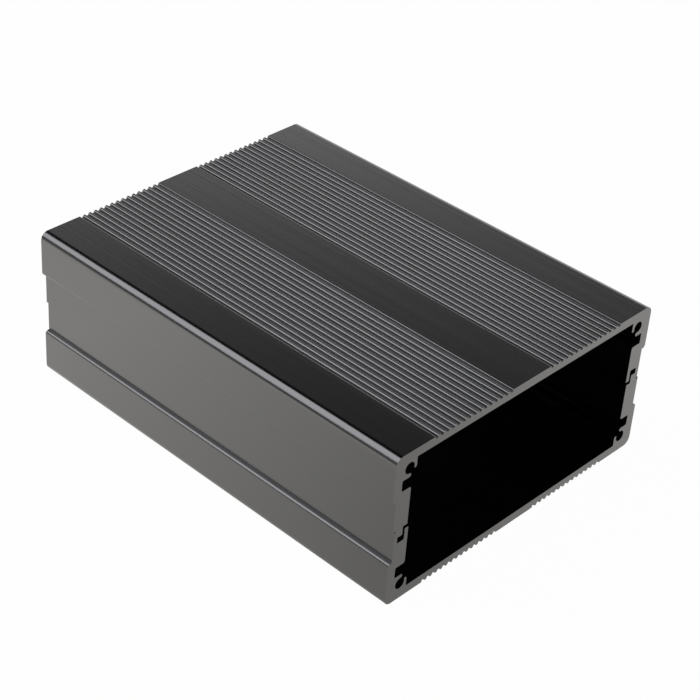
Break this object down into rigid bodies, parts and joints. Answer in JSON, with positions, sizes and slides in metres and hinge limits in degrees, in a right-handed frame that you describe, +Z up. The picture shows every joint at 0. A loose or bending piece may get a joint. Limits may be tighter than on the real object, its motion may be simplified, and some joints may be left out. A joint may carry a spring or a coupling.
{
  "type": "extruded aluminium enclosure",
  "caption": "Split extruded aluminium enclosure: ribbed top and bottom shells joined along an S-shaped seam, with board slots and screw channels, open at both ends.",
  "frame": {"origin": "centre of the footprint, on the plane it rests on", "axes": "+X across the width, +Y along the extrusion, +Z up from the bottom plate to the top plate"},
  "size_m": [0.076, 0.1, 0.035],
  "materials": {
    "lower_shell": "satin black anodised",
    "upper_shell": "satin black anodised"
  },
  "bodies": {
    "root": {"lower_shell": "lower_shell", "upper_shell": "upper_shell"}
  },
  "joints": []
}
